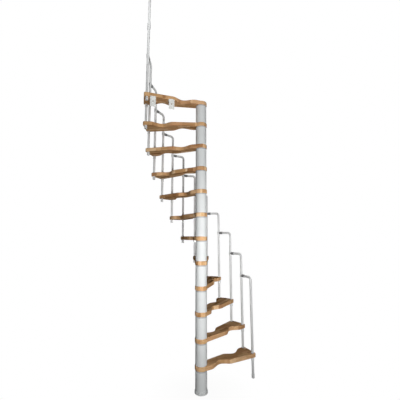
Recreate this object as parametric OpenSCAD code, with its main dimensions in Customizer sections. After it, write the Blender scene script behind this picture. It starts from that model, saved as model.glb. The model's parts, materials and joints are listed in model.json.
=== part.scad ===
// Space-saving spiral stair with alternating wavy treads. Millimetres, +Z up.
// The origin is the middle of the column's foot, on the floor.
// A tread is drawn with its hub at the origin and its length along +X.
// Its near edge has the waist close to the column, and its far edge the waist further out.

/* [Stair] */
// Number of treads
tread_count = 12; // [6:1:13]
// Height from one tread to the next
rise = 235; // [200:1:260]
// Turn from one tread to the next, in degrees
step_angle = 14.7; // [13:0.1:18]
// Direction of the first baluster, in degrees from +X
first_angle = 24.7; // [0:0.1:90]
// Distance from the column's axis to the balusters
rod_circle = 574; // [540:1:700]

/* [Treads] */
// Thickness of the wood
tread_t = 40; // [30:1:50]
// Diameter of the wooden hub
hub_d = 120; // [116:1:140]
// Wood beyond the baluster holes at the outer end
end_margin = 29; // [24:1:40]
// Wood beside the baluster hole at the near edge
near_margin = 23; // [20:1:40]
// Wood beside the baluster hole at the far edge
far_margin = 20; // [18:1:40]
// Radius of the two outer corners
corner_r = 16; // [10:1:18]
// Rounding of the upper and lower edges
edge_r = 6; // [2:0.5:8]
// Straight pieces in each rounded edge
edge_steps = 2; // [2:1:3]

/* [Wavy edges] */
// Near edge: direction in which it leaves the hub, in degrees from the tread's length
near_root_angle = 74; // [60:1:80]
// Near edge: distance of the bulge beside the hub
bulge_x = 75; // [65:1:100]
// Near edge: half width at the bulge
bulge_w = 63; // [50:1:75]
// Near edge: distance of the waist
near_waist_x = 200; // [150:1:230]
// Near edge: half width at the waist
near_waist_w = 20; // [10:1:45]
// Near edge: distance of the shoulder after the waist
near_peak_x = 315; // [270:1:350]
// Near edge: half width at the shoulder
near_peak_w = 74; // [60:1:90]
// Far edge: direction in which it leaves the hub, in degrees from the tread's length
far_root_angle = 53; // [40:1:75]
// Far edge: distance of the shoulder before the waist
far_peak_x = 295; // [250:1:330]
// Far edge: half width at the shoulder
far_peak_w = 70; // [55:1:85]
// Far edge: distance of the waist
far_waist_x = 405; // [370:1:430]
// Far edge: half width at the waist
far_waist_w = 26; // [10:1:45]
// Far edge: how far inside the baluster holes the outer wing starts
wing_back = 40; // [25:1:60]
// Far edge: how much narrower the wing starts than the outer corner
wing_taper = 4; // [0:1:10]
// Straight pieces in each half wave
wave_steps = 7; // [5:1:8]
// Straight pieces round half of the hub
hub_steps = 10; // [8:1:12]

/* [Column] */
// Outer diameter of the column tubes
tube_d = 110; // [100:1:114]
// Wall of the column tubes
tube_wall = 4; // [2:0.5:8]
// Diameter of the foot
base_d = 122; // [116:1:160]
// Height of the foot
base_h = 20; // [15:1:30]
// Slanted edge round the top of the foot
base_bevel = 4; // [1:0.5:5]
// Thickness of the foot under the tie rod
base_floor = 8; // [4:1:12]
// Height of a levelling ring between tube and tread
level_h = 12; // [6:1:20]
// Depth of the spigots inside the tubes
spigot_h = 15; // [8:1:30]
// Diameter of the tie rod
tie_d = 24; // [16:1:30]
// Length of the tie rod above the top hub
tie_above = 8; // [4:1:10]
// Diameter of the cover on the top hub
cover_d = 60; // [45:1:80]
// Height of the cover on the top hub
cover_h = 13; // [12:1:20]
// Rounding of the cover's edge
cover_round = 6; // [2:1:8]

/* [Balusters] */
// Diameter of the rods
rod_d = 25; // [20:0.5:28]
// Bend radius of a rod at its middle
bend_r = 32; // [25:1:40]
// Height of an arm above its own tread
arm_above = 745; // [650:1:900]
// Height of the top pole above the top tread
pole_above = 1100; // [1000:1:1200]
// Distance of the top pole's joint below the last arm
joint_below = 48; // [35:1:80]
// Height of the gap at the joint
joint_gap = 8; // [4:1:12]
// Diameter of the plug that shows in the gap
joint_plug_d = 16; // [12:1:20]

/* [Rod fittings] */
// Outer diameter of the ring on the next upright
ring_d = 33; // [31:0.5:40]
// Height of the ring
ring_h = 34; // [32:1:45]
// Height of the ring on the top pole
pole_ring_h = 46; // [32:1:50]
// Outer diameter of the sleeve on an arm's end
sleeve_d = 30; // [29:0.5:32]
// Length of arm inside the sleeve
sleeve_grip = 19; // [15:1:40]
// Length of sleeve beyond the arm's end
sleeve_nose = 14; // [10:1:18]
// Width of the groove between sleeve and nose
groove_w = 4; // [2:0.5:6]
// Diameter at the bottom of the groove
groove_d = 22; // [16:1:26]
// Outer diameter of the collar under a tread
collar_d = 32; // [30:0.5:40]
// Height of the collar
collar_h = 32; // [20:1:45]
// Outer diameter of the washer on a tread
washer_d = 32; // [30:0.5:36]
// Thickness of the washer
washer_t = 4; // [2:0.5:6]
// Outer diameter of the cap on a rod's end
cap_d = 29; // [28.5:0.5:34]
// Height of the cap
cap_h = 37; // [25:1:50]
// Thickness of the cap's closed end
cap_floor = 7; // [4:1:12]
// Rounding of the cap's end
cap_round = 4; // [1:0.5:6]

/* [Floor brackets] */
// Distance of the outer bracket inside the baluster holes
bracket_inset = 59; // [48:1:90]
// Distance between the two brackets
bracket_space = 185; // [80:1:200]
// Distance that a hanging leg stands out from the tread's edge
bracket_proud = 15; // [8:1:20]
// Width of a bracket
bracket_w = 55; // [50:1:70]
// Length of the leg that hangs down
bracket_drop = 110; // [108:1:140]
// Length of the leg under the tread
bracket_leg = 60; // [50:1:70]
// Thickness of the plate
bracket_t = 3; // [2:0.5:5]
// Outer bend radius of the plate
bracket_bend = 6; // [5.5:0.5:10]
// Diameter of the small holes
small_hole_d = 5; // [4:0.5:6]
// Diameter of the large hole
large_hole_d = 13; // [9:0.5:14]
// Space between the small holes, both ways
hole_space = 30; // [26:1:32]
// Distance of the last row from a leg's end
hole_end = 10; // [8:0.5:12]

/* [Clearances] */
// Gap all round where a round piece sits in another
fit_gap = 0.3; // [0.1:0.1:0.5]

/* [Hidden] */
$fn = 64;
hole_rows = 4;
overcut = 1;
rod_count = tread_count + 1;
hole_x = rod_circle * cos(step_angle / 2);
hole_w = rod_circle * sin(step_angle / 2);
arm_reach = 2 * hole_w;
arm_end = arm_reach - ring_d / 2 - sleeve_nose;
rod_hole_d = rod_d + 2 * fit_gap;
tie_hole_d = tie_d + 2 * fit_gap;
spigot_d = tube_d - 2 * tube_wall - 2 * fit_gap;
tread_end = hole_x + end_margin;
near_corner_w = hole_w + near_margin;
far_corner_w = hole_w + far_margin;
near_root = hub_d / 2 * [cos(near_root_angle), sin(near_root_angle)];
bulge = [bulge_x, bulge_w];
near_waist = [near_waist_x, near_waist_w];
near_peak = [near_peak_x, near_peak_w];
far_root = hub_d / 2 * [cos(far_root_angle), sin(far_root_angle)];
far_peak = [far_peak_x, far_peak_w];
far_waist = [far_waist_x, far_waist_w];
wing = [hole_x - wing_back, far_corner_w - wing_taper];
top_z = tread_count * rise;
pole_top = top_z + pole_above;
joint_z = top_z + arm_above - joint_below - joint_gap / 2;
bracket_outer_x = hole_x - bracket_inset;
bracket_inner_x = bracket_outer_x - bracket_space;
bracket_slope = (near_corner_w - near_peak_w) / (tread_end - corner_r - near_peak_x);

function two_digits(n) = n < 10 ? str("0", n) : str(n);
function names(word, count) = [for (n = [1:count]) str(word, "_", two_digits(n))];

function rod_angle(n) = first_angle + (n - 1) * step_angle;
function tread_angle(n) = rod_angle(n) + step_angle / 2;
function tread_bottom(n) = n * rise - tread_t;
function arm_z(n) = n * rise + arm_above;
function cap_z(n) = n == 1 ? 0 : tread_bottom(n - 1) - cap_h;

// Half a wave from point a to just before point b, level at both ends
function wave(a, b) = [
    for (i = [0:wave_steps - 1])
    let (t = i / wave_steps)
    [a[0] + (b[0] - a[0]) * t, a[1] + (b[1] - a[1]) * (1 - cos(180 * t)) / 2]
];

// Straight run from point a to just before point b, with one piece more than a whole wave
function run(a, b) = let (pieces = 2 * wave_steps + 1) [
    for (i = [0:pieces - 1])
    a + (b - a) * i / pieces
];

// A rounded edge as inset and height, from the flat face to the side
function edge_round() = [
    for (i = [0:edge_steps])
    let (a = 90 * i / edge_steps)
    edge_r * [1 - sin(a), 1 - cos(a)]
];

// Side of the wood as inset and height, from the underside to the top
function side_profile() = concat(
    edge_round(),
    [for (p = reversed(edge_round())) [p[0], tread_t - p[1]]]
);

// Outline drawn in by d, each point square to the line between its neighbours
function drawn_in(points, d) = let (count = len(points)) [
    for (i = [0:count - 1])
    let (along = points[(i + 1) % count] - points[(i + count - 1) % count])
    points[i] + d / norm(along) * [-along[1], along[0]]
];

// Round outer corner that starts at half width w and ends at the tread's end
function corner(w) = [
    for (a = [0:15:90])
    [tread_end - corner_r + corner_r * sin(a), w - corner_r + corner_r * cos(a)]
];

// The two edges from the hub outward, as distance and half width, with as many points each
function near_edge() = concat(
    [near_root],
    wave(bulge, near_waist),
    wave(near_waist, near_peak),
    run(near_peak, corner(near_corner_w)[0]),
    corner(near_corner_w)
);
function far_edge() = concat(
    run(far_root, far_peak),
    wave(far_peak, far_waist),
    wave(far_waist, wing),
    [wing],
    corner(far_corner_w)
);
function reversed(list) = [for (i = [len(list) - 1:-1:0]) list[i]];
function hub_arc() = let (sweep = 360 - near_root_angle - far_root_angle) [
    for (i = [1:2 * hub_steps - 1])
    let (a = far_root_angle + sweep * i / (2 * hub_steps))
    hub_d / 2 * [cos(a), sin(a)]
];
function tread_outline() = concat(
    hub_arc(),
    [for (p = near_edge()) [p[0], -p[1]]],
    reversed(far_edge())
);

// Frame of tread n at its underside, with left-foot and right-foot treads in turn
module at_tread(n) {
    translate([0, 0, tread_bottom(n)])
    rotate([0, 0, tread_angle(n)])
    mirror([0, n % 2 == 0 ? 1 : 0, 0])
    children();
}

// Frame of baluster n on the floor, with +X towards the next upright
module at_rod(n) {
    rotate([0, 0, rod_angle(n)])
    translate([rod_circle, 0, 0])
    rotate([0, 0, 90 + step_angle / 2])
    children();
}

module pipe(outer_d, inner_d, h) {
    difference() {
        cylinder(d = outer_d, h = h);
        translate([0, 0, -overcut])
        cylinder(d = inner_d, h = h + 2 * overcut);
    }
}

// Triangles that fill a ring with an odd number of points, in pairs outward from its point at start
function filling(count, start) = [
    for (k = [0:(count - 3) / 2])
    let (
        left = (start + count - k) % count,
        right = (start + k) % count,
        next_left = (start + count - k - 1) % count,
        next_right = (start + k + 1) % count
    )
    each concat(
        k == 0 ? [] : [[left, right, next_right]],
        [[left, next_right, next_left]]
    )
];

// Closed skin through a stack of like rings, from the lowest to the highest
module skin(rings, start) {
    count = len(rings[0]);
    top = (len(rings) - 1) * count;
    polyhedron(
        points = [for (ring = rings) each ring],
        faces = concat(
            filling(count, start),
            [
                for (low = [0:count:top - count], i = [0:count - 1])
                let (j = (i + 1) % count)
                [low + i, low + count + i, low + count + j, low + j]
            ],
            [for (face = filling(count, start)) [for (i = reversed(face)) top + i]]
        )
    );
}

module base_plate() {
    color("silver")
    rotate_extrude()
    polygon([
        [0, 0],
        [base_d / 2, 0],
        [base_d / 2, base_h - base_bevel],
        [base_d / 2 - base_bevel, base_h],
        [spigot_d / 2, base_h],
        [spigot_d / 2, base_h + spigot_h],
        [tie_hole_d / 2, base_h + spigot_h],
        [tie_hole_d / 2, base_floor],
        [0, base_floor]
    ]);
}

module spacer(n) {
    foot_z = n == 1 ? base_h : (n - 1) * rise;
    color("silver")
    translate([0, 0, foot_z])
    pipe(tube_d, tube_d - 2 * tube_wall, tread_bottom(n) - level_h - foot_z);
}

module levelling_rings() {
    color("lightgray")
    for (n = [1:tread_count])
    translate([0, 0, tread_bottom(n)])
    rotate_extrude()
    polygon([
        [tie_hole_d / 2, 0],
        [tube_d / 2, 0],
        [tube_d / 2, -level_h],
        [spigot_d / 2, -level_h],
        [spigot_d / 2, -level_h - spigot_h],
        [tie_hole_d / 2, -level_h - spigot_h]
    ]);
}

module tie_rod() {
    color("gray")
    translate([0, 0, base_floor])
    cylinder(d = tie_d, h = top_z + tie_above - base_floor);
}

module column_cap() {
    flat_r = cover_d / 2 - cover_round;
    color("silver")
    translate([0, 0, top_z])
    rotate_extrude()
    polygon(concat(
        [[tie_hole_d / 2, 0], [cover_d / 2, 0]],
        [for (a = [0:15:90]) [flat_r + cover_round * cos(a), cover_h - cover_round * (1 - sin(a))]],
        [[0, cover_h], [0, tie_above], [tie_hole_d / 2, tie_above]]
    ));
}

module tread(n) {
    color("burlywood")
    at_tread(n)
    difference() {
        skin(
            [
                for (p = side_profile())
                [for (q = drawn_in(tread_outline(), p[0])) [q[0], q[1], p[1]]]
            ],
            hub_steps - 1
        );
        translate([0, 0, -overcut])
        cylinder(d = tie_hole_d, h = tread_t + 2 * overcut);
        for (side = [-1, 1])
        translate([hole_x, side * hole_w, -overcut])
        cylinder(d = rod_hole_d, h = tread_t + 2 * overcut);
    }
}

module upright(from_z, to_z) {
    translate([0, 0, from_z])
    cylinder(d = rod_d, h = to_z - from_z);
}

module bend(z) {
    translate([bend_r, 0, z - bend_r])
    rotate([90, 0, 0])
    rotate([0, 0, 90])
    rotate_extrude(angle = 90)
    translate([bend_r, 0])
    circle(d = rod_d);
}

module baluster(n) {
    color("darkgray")
    at_rod(n)
    if (n == rod_count) {
        upright(cap_z(n) + cap_floor, joint_z);
        translate([0, 0, joint_z])
        cylinder(d = joint_plug_d, h = joint_gap);
        upright(joint_z + joint_gap, pole_top - cap_floor);
    } else {
        upright(cap_z(n) + cap_floor, arm_z(n) - bend_r);
        bend(arm_z(n));
        translate([bend_r, 0, arm_z(n)])
        rotate([0, 90, 0])
        cylinder(d = rod_d, h = arm_end - bend_r);
    }
}

module arm_connectors() {
    color("dimgray")
    for (n = [1:tread_count])
    at_rod(n)
    translate([arm_end, 0, arm_z(n)])
    difference() {
        rotate([0, 90, 0])
        rotate_extrude()
        polygon([
            [rod_hole_d / 2, 0],
            [rod_hole_d / 2, -sleeve_grip],
            [sleeve_d / 2, -sleeve_grip],
            [sleeve_d / 2, 0],
            [groove_d / 2, 0],
            [groove_d / 2, groove_w],
            [sleeve_d / 2, groove_w],
            [sleeve_d / 2, arm_reach - arm_end],
            [0, arm_reach - arm_end],
            [0, 0]
        ]);
        translate([arm_reach - arm_end, 0, -ring_h])
        cylinder(d = ring_d + 2 * fit_gap, h = 2 * ring_h);
    }
}

module shaft_rings() {
    color("darkgray")
    for (n = [1:tread_count])
    let (h = n == tread_count ? pole_ring_h : ring_h)
    at_rod(n + 1)
    translate([0, 0, arm_z(n) - h / 2])
    pipe(ring_d, rod_hole_d, h);
}

module tread_ferrules() {
    color("lightgray")
    for (n = [1:tread_count]) {
        at_rod(n)
        translate([0, 0, tread_bottom(n) - collar_h])
        pipe(collar_d, rod_hole_d, collar_h);
        for (rod = [n, n + 1])
        at_rod(rod)
        translate([0, 0, n * rise])
        pipe(washer_d, rod_hole_d, washer_t);
    }
}

module end_cap() {
    flat_r = cap_d / 2 - cap_round;
    rotate_extrude()
    polygon(concat(
        [[0, 0]],
        [for (a = [0:15:90]) [flat_r + cap_round * sin(a), cap_round * (1 - cos(a))]],
        [
            [cap_d / 2, cap_h],
            [rod_hole_d / 2, cap_h],
            [rod_hole_d / 2, cap_floor],
            [0, cap_floor]
        ]
    ));
}

module end_caps() {
    color("lightgray")
    union() {
        for (n = [1:rod_count])
        at_rod(n)
        translate([0, 0, cap_z(n)])
        end_cap();
        at_rod(rod_count)
        translate([0, 0, pole_top])
        mirror([0, 0, 1])
        end_cap();
    }
}

// Bent plate with its outer face on Y = 0 and the tread's underside on Z = 0
module bracket_plate() {
    turn = [for (a = [0:15:90]) [1 - cos(a), sin(a) - 1]];
    inner_r = bracket_bend - bracket_t;
    translate([-bracket_w / 2, 0, 0])
    rotate([90, 0, 90])
    linear_extrude(bracket_w)
    polygon(concat(
        [[0, -bracket_drop]],
        [for (p = turn) bracket_bend * p],
        [[bracket_leg, 0], [bracket_leg, -bracket_t]],
        [for (p = reversed(turn)) [bracket_t, -bracket_t] + inner_r * p],
        [[bracket_t, -bracket_drop]]
    ));
}

module hanging_hole(x, z, d) {
    translate([x, -overcut, z])
    rotate([-90, 0, 0])
    cylinder(d = d, h = bracket_t + 2 * overcut);
}

module leg_hole(x, y, d) {
    translate([x, y, -bracket_t - overcut])
    cylinder(d = d, h = bracket_t + 2 * overcut);
}

module bracket() {
    low_z = hole_end - bracket_drop;
    difference() {
        bracket_plate();
        for (side = [-1, 1], row = [0:hole_rows - 1])
        hanging_hole(side * hole_space / 2, low_z + row * hole_space, small_hole_d);
        hanging_hole(0, low_z + (hole_rows - 1) / 2 * hole_space, large_hole_d);
        for (side = [-1, 1])
        leg_hole(side * hole_space / 2, bracket_leg - hole_end, small_hole_d);
    }
}

module floor_brackets() {
    color("whitesmoke")
    at_tread(tread_count)
    for (x = [bracket_inner_x, bracket_outer_x])
    translate([x, -near_peak_w - bracket_slope * (x - near_peak_x), 0])
    rotate([0, 0, -atan(bracket_slope)])
    translate([0, -bracket_proud, 0])
    bracket();
}

base_plate();
levelling_rings();
tie_rod();
column_cap();
for (n = [1:tread_count]) {
    spacer(n);
    tread(n);
}
for (n = [1:rod_count]) {
    baluster(n);
}
arm_connectors();
shaft_rings();
tread_ferrules();
end_caps();
floor_brackets();
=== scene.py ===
"""Looks of a space-saving spiral stair: beech treads, silver paint, dark clamps, zinc fittings."""
import json
import math

import bmesh
import bpy
from mathutils import Matrix, Vector


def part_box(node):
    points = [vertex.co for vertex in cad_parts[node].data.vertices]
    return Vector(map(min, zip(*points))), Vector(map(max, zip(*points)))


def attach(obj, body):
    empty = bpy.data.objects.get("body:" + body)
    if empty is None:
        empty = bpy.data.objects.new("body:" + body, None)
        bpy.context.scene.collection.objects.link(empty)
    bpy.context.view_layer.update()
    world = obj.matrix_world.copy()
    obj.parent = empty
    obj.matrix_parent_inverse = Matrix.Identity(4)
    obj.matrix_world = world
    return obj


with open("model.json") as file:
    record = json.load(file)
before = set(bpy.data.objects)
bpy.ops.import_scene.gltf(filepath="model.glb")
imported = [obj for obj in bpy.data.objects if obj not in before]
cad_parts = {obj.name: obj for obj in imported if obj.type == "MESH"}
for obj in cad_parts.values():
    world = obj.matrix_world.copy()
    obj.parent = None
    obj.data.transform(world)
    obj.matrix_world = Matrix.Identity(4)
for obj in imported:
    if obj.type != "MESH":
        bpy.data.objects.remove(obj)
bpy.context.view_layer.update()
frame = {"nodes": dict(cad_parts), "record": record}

# The stair, in metres and degrees
TREADS = 12
STEP_ANGLE = 14.7
ROD_R = 0.0125
RING_R = 0.0165
COLLAR_R = 0.016
COLLAR_H = 0.032
BRACKET_T = 0.003
BRACKET_LEG_INSET = 0.05
BRACKET_SCREW_SPACE = 0.030

# Screw heads: radius and height of both kinds, and the shares of the two at a head's loops
CLAMP_SCREW = (0.0048, 0.0030)
COLLAR_SCREW = (0.0034, 0.0012)
SCREW_SIDES = 24
DOME_LOOPS = ((1.0, -0.2), (1.0, 0.35), (0.94, 0.66), (0.80, 0.88), (0.62, 1.0))
SOCKET_LOOPS = ((0.46, 1.0), (0.46, 0.35))

# Soft edges and smooth shading of the CAD nodes, in metres and degrees
SHEET_EDGE = 0.0004
FINE_EDGE = 0.0008
SOFT_EDGE = 0.001
EDGE_STEPS = 3
EDGE_ANGLE = 40.0
WELD_REACH = 1e-6
FACE_WEIGHT = 100

# The camera and the lamps
CAMERA_PLACE = (0.0165, -2.541, 1.418)
CAMERA_TURN = (98.009, 0.0, 0.62)
CAMERA_LENS = 22.806
SENSOR = 36.0
LAMPS = {
    "key": dict(
        place=(0.89, -2.44, 1.15), aim=(0.0, 0.0, 1.28), size=0.5, spread=98.0, power=13.3
    ),
    "front": dict(
        place=(0.09, -2.60, 1.15), aim=(0.0, 0.0, 1.28), size=0.5, spread=98.0, power=11.0
    ),
    "upper": dict(
        place=(0.30, -2.50, 2.30), aim=(-0.2, -0.1, 3.1), size=0.4, spread=50.0, power=2.3
    ),
    "pole": dict(
        place=(-0.20, -2.40, 3.60), aim=(-0.57, -0.13, 3.7), size=0.4, spread=44.0, power=2.9
    ),
    "tops": dict(
        place=(-1.1, 0.9, 4.9), aim=(-0.35, 0.05, 2.7), size=0.8, spread=46.0, power=1.8
    ),
}
BACK_TURNS = (150.0, 210.0)
BACK_STRENGTH = 1.1
BACK_SOFTNESS = 8.0
AMBIENT = 0.02

# The floor, whose grey is for the light that it returns
FLOOR_SIZE = 30.0
FLOOR_GREY = (0.15, 0.15, 0.15)
FLOOR_SHADOW = 0.04
FLOOR_SHADOW_REACH = 0.5

# The boards that the treads are glued from, and the numbers that their chances are drawn with
STRIP_W = 0.032
BLOCK_L = 0.13
FINGER_PITCH = 0.0065
FINGER_DEPTH = 0.009
GLUE_LINE = 0.0005
BOARD_SEEDS = (92, 301, 94, 238, 57, 357, 33, 346, 425, 439, 50, 350)
STRIP_SHIFT = 0.37
BLOCK_SHIFT = 9.0
SHIFT_DRAW = 0.5
WARMTH_DRAW = 40
ODD_SHARE = 0.3

# The grain of the boards: jumps from block to block, stretch along the boards and depth
GRAIN_JUMP_ALONG = 5.0
GRAIN_JUMP_ACROSS = 3.0
GRAIN_STRETCH = (5.0, 110.0, 110.0)
BAND_STRETCH = (2.0, 28.0, 28.0)
FLECK_STRETCH = (160.0, 900.0, 900.0)
GRAIN_DEPTH = 0.5

# The colours of the boards
BOARD_TONES = (
    (0.0, (0.32, 0.150, 0.060)),
    (0.25, (0.52, 0.290, 0.125)),
    (0.6, (0.80, 0.515, 0.270)),
    (1.0, (1.00, 0.740, 0.460)),
)
PINK_BOARD = (0.72, 0.39, 0.21)
GRAIN_STREAK = (0.42, 0.21, 0.085)
PALE_BAND = (0.88, 0.62, 0.37)
DARK_FLECK = (0.27, 0.13, 0.06)
GLUE_COLOUR = (0.22, 0.11, 0.05)

# The range that nearly all values of a noise lie in
NOISE_LOW = 0.3
NOISE_HIGH = 0.7

# Sockets of a mix node that carry colours
MIX_BELOW = 6
MIX_ABOVE = 7
MIX_RESULT = 2


def numbered(word, count):
    return [f"{word}_{n:02d}" for n in range(1, count + 1)]


class Graph:
    """Short calls for building the nodes of one material."""

    def __init__(self, name):
        self.material = bpy.data.materials.new(name)
        self.material.use_nodes = True
        self.tree = self.material.node_tree
        self.shader = self.tree.nodes["Principled BSDF"]
        self.place = self.node("ShaderNodeTexCoord").outputs["Object"]

    def node(self, kind, **settings):
        made = self.tree.nodes.new(kind)
        for key, value in settings.items():
            setattr(made, key, value)
        return made

    def feed(self, socket, value):
        if isinstance(value, bpy.types.NodeSocket):
            self.tree.links.new(value, socket)
        else:
            socket.default_value = value

    def feed_all(self, made, values):
        for socket, value in zip(made.inputs, values):
            self.feed(socket, value)
        return made.outputs[0]

    def math(self, operation, first, second=0.0, third=0.0):
        made = self.node("ShaderNodeMath", operation=operation)
        return self.feed_all(made, (first, second, third))

    def blend(self, first, second, share):
        """Adds the given share of the first value and the rest of the second."""
        rest = self.math("MULTIPLY", second, 1.0 - share)
        return self.math("MULTIPLY_ADD", first, share, rest)

    def vector(self, operation, first, second):
        made = self.node("ShaderNodeVectorMath", operation=operation)
        return self.feed_all(made, (first, second))

    def combine(self, x, y, z):
        return self.feed_all(self.node("ShaderNodeCombineXYZ"), (x, y, z))

    def noise(self, vector, scale, detail=3.0, roughness=0.5):
        made = self.node("ShaderNodeTexNoise")
        self.feed(made.inputs["Vector"], vector)
        made.inputs["Scale"].default_value = scale
        made.inputs["Detail"].default_value = detail
        made.inputs["Roughness"].default_value = roughness
        return made.outputs["Fac"]

    def streaks(self, vector, stretch, scale=1.0, **settings):
        """Noise that is stretched by another factor along each axis."""
        return self.noise(self.vector("MULTIPLY", vector, stretch), scale, **settings)

    def random(self, vector):
        made = self.node("ShaderNodeTexWhiteNoise", noise_dimensions="3D")
        self.feed(made.inputs["Vector"], vector)
        return made.outputs["Value"]

    def cells(self, vector, scale):
        made = self.node("ShaderNodeTexVoronoi")
        self.feed(made.inputs["Vector"], vector)
        made.inputs["Scale"].default_value = scale
        return self.random(made.outputs["Position"])

    def spread(self, value, low, high, new_low=0.0, new_high=1.0):
        made = self.node("ShaderNodeMapRange")
        return self.feed_all(made, (value, low, high, new_low, new_high))

    def ramp(self, value, *stops):
        made = self.node("ShaderNodeValToRGB")
        points = made.color_ramp.elements
        while len(points) < len(stops):
            points.new(0.5)
        for point, (position, colour) in zip(points, stops):
            point.position = position
            point.color = (*colour, 1.0)
        return self.feed_all(made, (value,))

    def cover(self, below, share, colour):
        """Lays the given share of a plain colour over what is below."""
        made = self.node("ShaderNodeMix", data_type="RGBA")
        self.feed(made.inputs["Factor"], share)
        self.feed(made.inputs[MIX_BELOW], below)
        made.inputs[MIX_ABOVE].default_value = (*colour, 1.0)
        return made.outputs[MIX_RESULT]

    def bump(self, height, strength, distance):
        made = self.node("ShaderNodeBump")
        self.feed(made.inputs["Height"], height)
        made.inputs["Strength"].default_value = strength
        made.inputs["Distance"].default_value = distance
        return made.outputs[0]

    def finish(self, **sockets):
        for name, value in sockets.items():
            self.feed(self.shader.inputs[name.replace("_", " ")], value)
        return self.material


def silver_paint(name, dark, light, metallic, roughness, gloss):
    """Sprayed silver-grey paint with fine flakes and a faint orange peel."""
    graph = Graph(name)
    clouds = graph.noise(graph.place, scale=9.0, detail=4.0)
    flakes = graph.cells(graph.place, scale=1400.0)
    peel = graph.noise(graph.place, scale=420.0, detail=2.0)
    tone = graph.blend(flakes, clouds, share=0.35)
    return graph.finish(
        Base_Color=graph.ramp(tone, (0.25, dark), (0.75, light)),
        Metallic=metallic,
        Roughness=graph.spread(
            clouds, NOISE_LOW, NOISE_HIGH, new_low=roughness - 0.04, new_high=roughness + 0.05
        ),
        Normal=graph.bump(peel, strength=0.08, distance=0.0004),
        Specular_IOR_Level=gloss,
    )


def moulded_plastic(name, dark, light):
    """Moulded plastic with a fine spark-eroded grain."""
    graph = Graph(name)
    grain = graph.noise(graph.place, scale=1600.0, detail=2.0)
    clouds = graph.noise(graph.place, scale=40.0)
    return graph.finish(
        Base_Color=graph.ramp(clouds, (NOISE_LOW, dark), (NOISE_HIGH, light)),
        Roughness=graph.spread(grain, NOISE_LOW, NOISE_HIGH, new_low=0.42, new_high=0.58),
        Normal=graph.bump(grain, strength=0.15, distance=0.0003),
    )


def zinc_plate(name, dark, light, metallic, roughness, cell_scale):
    """Zinc with a faint crystal pattern and fine scratches."""
    graph = Graph(name)
    low, high = 0.2, 0.8
    crystals = graph.cells(graph.place, cell_scale)
    scratches = graph.streaks(graph.place, stretch=(1.0, 1.0, 18.0), scale=260.0)
    tone = graph.blend(crystals, scratches, share=0.6)
    return graph.finish(
        Base_Color=graph.ramp(tone, (low, dark), (high, light)),
        Metallic=metallic,
        Roughness=graph.spread(
            tone, low, high, new_low=roughness - 0.07, new_high=roughness + 0.08
        ),
        Normal=graph.bump(scratches, strength=0.05, distance=0.0003),
    )


def beech(number, turn, bottom):
    """Lacquered beech glued from finger-jointed strips that run along the tread."""
    graph = Graph(f"beech_{number:02d}")
    level = graph.node("ShaderNodeMapping", vector_type="POINT")
    level.inputs["Rotation"].default_value = (0.0, 0.0, -turn)
    level.inputs["Location"].default_value = (0.0, 0.0, -bottom)
    graph.feed(level.inputs["Vector"], graph.place)
    split = graph.node("ShaderNodeSeparateXYZ")
    graph.feed(split.inputs[0], level.outputs[0])
    along, across, up = split.outputs

    # Strips side by side, each cut into blocks at its own places
    seed = BOARD_SEEDS[number - 1]
    strip_place = graph.math("MULTIPLY_ADD", across, 1 / STRIP_W, STRIP_SHIFT * seed)
    strip = graph.math("FLOOR", strip_place)
    shift = graph.random(graph.combine(strip, seed, SHIFT_DRAW))
    finger = graph.math("PINGPONG", across, FINGER_PITCH / 2)
    toothed = graph.math("MULTIPLY_ADD", finger, 2 * FINGER_DEPTH / FINGER_PITCH, along)
    block_start = graph.math("MULTIPLY", shift, BLOCK_SHIFT)
    block_place = graph.math("MULTIPLY_ADD", toothed, 1 / BLOCK_L, block_start)
    block = graph.math("FLOOR", block_place)
    odd = graph.math("PINGPONG", strip, 1.0)
    chance = graph.random(graph.combine(strip, block, seed))
    tone = graph.blend(odd, chance, ODD_SHARE)
    warmth = graph.random(graph.combine(block, strip, seed + WARMTH_DRAW))

    # Grain lines, bands and flecks that differ from block to block
    moved = graph.combine(
        graph.math("MULTIPLY_ADD", tone, GRAIN_JUMP_ALONG, along),
        graph.math("MULTIPLY_ADD", warmth, GRAIN_JUMP_ACROSS, across),
        up,
    )
    grain = graph.streaks(moved, GRAIN_STRETCH, detail=5.0, roughness=0.6)
    bands = graph.streaks(moved, BAND_STRETCH, detail=2.0)
    flecks = graph.streaks(moved, FLECK_STRETCH, detail=1.0)

    # Glue lines where one strip or block ends and the next begins
    def seam(place, width):
        part = graph.math("FRACT", place)
        edge = graph.math("MINIMUM", part, graph.math("SUBTRACT", 1.0, part))
        return graph.spread(edge, 0.0, width, new_low=1.0, new_high=0.0)

    strip_seam = seam(strip_place, GLUE_LINE / STRIP_W)
    block_seam = seam(block_place, 2 * GLUE_LINE / BLOCK_L)
    glue = graph.math("MAXIMUM", strip_seam, block_seam)

    # Colours from the bare board up
    wood = graph.ramp(tone, *BOARD_TONES)
    for share, colour in (
        (graph.spread(warmth, 0.4, 1.0, new_high=0.55), PINK_BOARD),
        (graph.spread(grain, 0.35, 0.75, new_high=0.55), GRAIN_STREAK),
        (graph.spread(bands, 0.45, 0.7, new_high=0.25), PALE_BAND),
        (graph.spread(flecks, 0.62, 0.72, new_high=0.5), DARK_FLECK),
        (graph.math("MULTIPLY", glue, 0.45), GLUE_COLOUR),
    ):
        wood = graph.cover(wood, share, colour)
    height = graph.math("SUBTRACT", graph.math("MULTIPLY", grain, GRAIN_DEPTH), glue)
    return graph.finish(
        Base_Color=wood,
        Roughness=graph.spread(grain, NOISE_LOW, NOISE_HIGH, new_low=0.50, new_high=0.64),
        Normal=graph.bump(height, strength=0.12, distance=0.0004),
        Specular_IOR_Level=0.0,
    )


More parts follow.
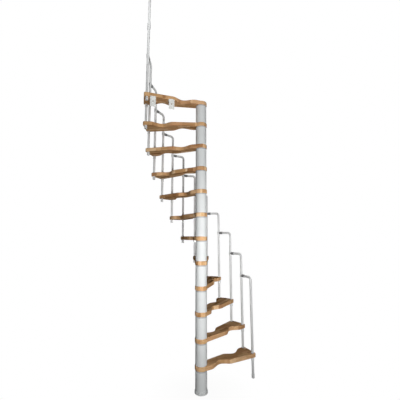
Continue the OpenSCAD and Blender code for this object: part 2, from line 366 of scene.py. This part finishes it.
def wear(node, material, edge=0.0):
    """Gives a CAD node its material, soft edges of the given width and smooth shading."""
    piece = frame["nodes"][node]
    for slot in piece.material_slots:
        slot.material = material
    weld = piece.modifiers.new("weld", "WELD")
    weld.merge_threshold = WELD_REACH
    if edge:
        bevel = piece.modifiers.new("edges", "BEVEL")
        bevel.width = edge
        bevel.segments = EDGE_STEPS
        bevel.limit_method = "ANGLE"
        bevel.angle_limit = math.radians(EDGE_ANGLE)
    normals = piece.modifiers.new("normals", "WEIGHTED_NORMAL")
    normals.weight = FACE_WEIGHT
    normals.keep_sharp = False


def hexagon(angle):
    """Reach of a hexagon at an angle, as a share of the reach of its corners."""
    half_side = math.pi / 6
    return math.cos(half_side) / math.cos(angle % (2 * half_side) - half_side)


def socket_screw(mesh, place, axis, radius, height):
    """Adds a round screw head with a hexagon socket, its seat at place and its top along axis."""
    turn = Vector((0, 0, 1)).rotation_difference(Vector(axis)).to_matrix().to_4x4()
    matrix = Matrix.Translation(place) @ turn

    def loop(share, level, outline):
        points = []
        for i in range(SCREW_SIDES):
            angle = 2 * math.pi * i / SCREW_SIDES
            reach = radius * share * outline(angle)
            point = Vector((reach * math.cos(angle), reach * math.sin(angle), height * level))
            points.append(mesh.verts.new(matrix @ point))
        return points

    loops = [loop(share, level, lambda angle: 1.0) for share, level in DOME_LOOPS]
    loops += [loop(share, level, hexagon) for share, level in SOCKET_LOOPS]
    for low, high in zip(loops, loops[1:]):
        for i in range(SCREW_SIDES):
            j = (i + 1) % SCREW_SIDES
            mesh.faces.new((low[i], low[j], high[j], high[i]))
    mesh.faces.new(list(reversed(loops[0])))
    mesh.faces.new(loops[-1])


def show(name, data):
    """Puts a new object with the given data in the scene."""
    made = bpy.data.objects.new(name, data)
    bpy.context.scene.collection.objects.link(made)
    return made


def show_mesh(name, mesh, material):
    """Puts a bmesh in the scene and frees it."""
    data = bpy.data.meshes.new(name)
    mesh.to_mesh(data)
    mesh.free()
    data.materials.append(material)
    return show(name, data)


def keep(name, mesh, material):
    """Turns a bmesh into a piece of the stair that takes its finish from a slot."""
    piece = show_mesh(name, mesh, material)
    for face in piece.data.polygons:
        face.use_smooth = True
    normals = piece.modifiers.new("normals", "WEIGHTED_NORMAL")
    normals.keep_sharp = False
    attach(piece, "root")


# Places that the fittings share
mounts = {mount["name"]: mount for mount in frame["record"]["mounts"]}
first_rod = Vector(mounts["first_rod_foot"]["pos_m"])
first_angle = math.atan2(first_rod.y, first_rod.x)


def rod_place(number, height):
    turn = Matrix.Rotation(math.radians(STEP_ANGLE) * (number - 1), 3, "Z")
    return turn @ Vector((first_rod.x, first_rod.y, 0.0)) + Vector((0.0, 0.0, height))


# Finishes of the CAD nodes
column_paint = silver_paint(
    "column_paint",
    dark=(0.66, 0.68, 0.68),
    light=(0.76, 0.78, 0.775),
    metallic=0.0,
    roughness=0.55,
    gloss=0.0,
)
# Same silver paint as the column, its base colour darkened to paint in the shade that falls on the
# thin rods standing further back
rod_paint = silver_paint(
    "rod_paint",
    dark=(0.59, 0.60, 0.60),
    light=(0.68, 0.69, 0.69),
    metallic=0.1,
    roughness=0.45,
    gloss=0.1,
)
dark_plastic = moulded_plastic(
    "dark_plastic", dark=(0.15, 0.152, 0.155), light=(0.20, 0.203, 0.205)
)
cap_plastic = moulded_plastic(
    "cap_plastic", dark=(0.58, 0.585, 0.585), light=(0.66, 0.665, 0.665)
)
ring_plastic = moulded_plastic(
    "ring_plastic", dark=(0.42, 0.425, 0.425), light=(0.50, 0.505, 0.505)
)
light_metal = zinc_plate(
    "light_metal",
    dark=(0.50, 0.51, 0.51),
    light=(0.60, 0.61, 0.60),
    metallic=0.7,
    roughness=0.36,
    cell_scale=300.0,
)
galvanised = zinc_plate(
    "galvanised",
    dark=(0.62, 0.63, 0.61),
    light=(0.78, 0.79, 0.76),
    metallic=0.4,
    roughness=0.42,
    cell_scale=110.0,
)
plain_steel = zinc_plate(
    "plain_steel",
    dark=(0.30, 0.30, 0.30),
    light=(0.42, 0.42, 0.41),
    metallic=0.9,
    roughness=0.40,
    cell_scale=220.0,
)

for name in ["base_plate", "column_cap", *numbered("spacer", TREADS)]:
    wear(name, column_paint, FINE_EDGE)
# Rods and shaft rings wear the darkened silver, whose lower tone is painted shade
for name in numbered("baluster", TREADS + 1):
    wear(name, rod_paint)
wear("levelling_rings", ring_plastic, SOFT_EDGE)
wear("arm_connectors", dark_plastic, FINE_EDGE)
wear("shaft_rings", rod_paint, SOFT_EDGE)
wear("tread_ferrules", light_metal, FINE_EDGE)
wear("end_caps", cap_plastic)
wear("floor_brackets", galvanised, SHEET_EDGE)
wear("tie_rod", plain_steel, SOFT_EDGE)
for number, name in enumerate(numbered("tread", TREADS), 1):
    tread_turn = first_angle + math.radians(STEP_ANGLE) * (number - 0.5)
    wear(name, beech(number, tread_turn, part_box(name)[0].z))

# Screws that clamp the rings and collars and hold the brackets
ring_screws = bmesh.new()
collar_screws = bmesh.new()
for number in range(1, TREADS + 1):
    arm_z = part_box(f"baluster_{number:02d}")[1].z - ROD_R
    rod = rod_place(number, arm_z)
    next_rod = rod_place(number + 1, arm_z)
    arm_axis = (next_rod - rod).normalized()
    socket_screw(ring_screws, next_rod + arm_axis * RING_R, arm_axis, *CLAMP_SCREW)
    collar_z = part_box(f"tread_{number:02d}")[0].z - COLLAR_H / 2
    collar = rod_place(number, collar_z)
    outward = Vector((collar.x, collar.y, 0.0)).normalized()
    socket_screw(collar_screws, collar + outward * COLLAR_R, outward, *COLLAR_SCREW)
keep("ring_screws", ring_screws, plain_steel)
keep("collar_screws", collar_screws, plain_steel)

bracket_screws = bmesh.new()
for side in ("outer", "inner"):
    face = mounts[f"bracket_{side}_face"]
    inward = -Vector(face["axis"])
    beside = inward.cross(Vector((0, 0, 1)))
    middle = Vector(face["pos_m"]) + inward * BRACKET_LEG_INSET
    middle.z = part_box(f"tread_{TREADS:02d}")[0].z - BRACKET_T
    for offset in (-0.5, 0.5):
        place = middle + beside * offset * BRACKET_SCREW_SPACE
        socket_screw(bracket_screws, place, (0, 0, -1), *CLAMP_SCREW)
keep("bracket_screws", bracket_screws, light_metal)


def seen_directly(tree):
    """Is 1 for rays from the camera and for glossy and transmitted ones, and 0 for others."""
    path = tree.nodes.new("ShaderNodeLightPath")
    seen = path.outputs["Is Camera Ray"]
    for kind in ("Is Glossy Ray", "Is Transmission Ray"):
        either = tree.nodes.new("ShaderNodeMath")
        either.operation = "MAXIMUM"
        tree.links.new(seen, either.inputs[0])
        tree.links.new(path.outputs[kind], either.inputs[1])
        seen = either.outputs[0]
    return seen


def shadow_floor():
    """White floor that keeps a soft shadow near the stair's foot."""
    graph = Graph("floor_white")
    lit = graph.node("ShaderNodeBsdfDiffuse")
    lit.inputs["Color"].default_value = (*FLOOR_GREY, 1.0)
    white = graph.node("ShaderNodeEmission")
    length = graph.node("ShaderNodeVectorMath", operation="LENGTH")
    graph.feed(length.inputs[0], graph.place)
    distance = length.outputs["Value"]
    whiteness = graph.spread(distance, 0.0, FLOOR_SHADOW_REACH, new_low=1.0 - FLOOR_SHADOW)
    share = graph.math("MULTIPLY", seen_directly(graph.tree), whiteness)
    mixed = graph.node("ShaderNodeMixShader")
    surface = graph.feed_all(mixed, (share, lit.outputs[0], white.outputs[0]))
    graph.feed(graph.tree.nodes["Material Output"].inputs["Surface"], surface)
    graph.tree.nodes.remove(graph.shader)
    return graph.material


floor_mesh = bmesh.new()
bmesh.ops.create_grid(floor_mesh, x_segments=1, y_segments=1, size=FLOOR_SIZE / 2)
floor = show_mesh("floor", floor_mesh, shadow_floor())

# White surroundings that add little light of their own
world = bpy.data.worlds.new("studio")
bpy.context.scene.world = world
world.use_nodes = True
sky = world.node_tree
backdrop = sky.nodes["Background"]
backdrop.inputs["Color"].default_value = (1.0, 1.0, 1.0, 1.0)
level = sky.nodes.new("ShaderNodeMapRange")
level.inputs["To Min"].default_value = AMBIENT
level.inputs["To Max"].default_value = 1.0
sky.links.new(seen_directly(sky), level.inputs["Value"])
sky.links.new(level.outputs["Result"], backdrop.inputs["Strength"])


def soft_lamp(name, place, aim, size, spread, power):
    """Square lamp at a place that shines at another one."""
    lamp = bpy.data.lights.new(name, "AREA")
    lamp.size = size
    lamp.spread = math.radians(spread)
    lamp.energy = power
    holder = show(name, lamp)
    holder.location = place
    holder.rotation_euler = (Vector(aim) - Vector(place)).to_track_quat("-Z", "Y").to_euler()


def far_lamp(name, turn, strength):
    """Level light from far away, its direction turned from the front about the column."""
    lamp = bpy.data.lights.new(name, "SUN")
    lamp.energy = strength
    lamp.angle = math.radians(BACK_SOFTNESS)
    holder = show(name, lamp)
    holder.rotation_euler = (math.pi / 2, 0.0, math.radians(turn))


for name, settings in LAMPS.items():
    soft_lamp(name, **settings)
for number, turn in enumerate(BACK_TURNS, 1):
    far_lamp(f"back_{number}", turn, BACK_STRENGTH)

lens = bpy.data.cameras.new("camera")
lens.lens = CAMERA_LENS
lens.sensor_width = SENSOR
camera = show("camera", lens)
camera.location = CAMERA_PLACE
camera.rotation_euler = [math.radians(angle) for angle in CAMERA_TURN]
bpy.context.scene.camera = camera
bpy.context.scene.view_settings.view_transform = "Standard"
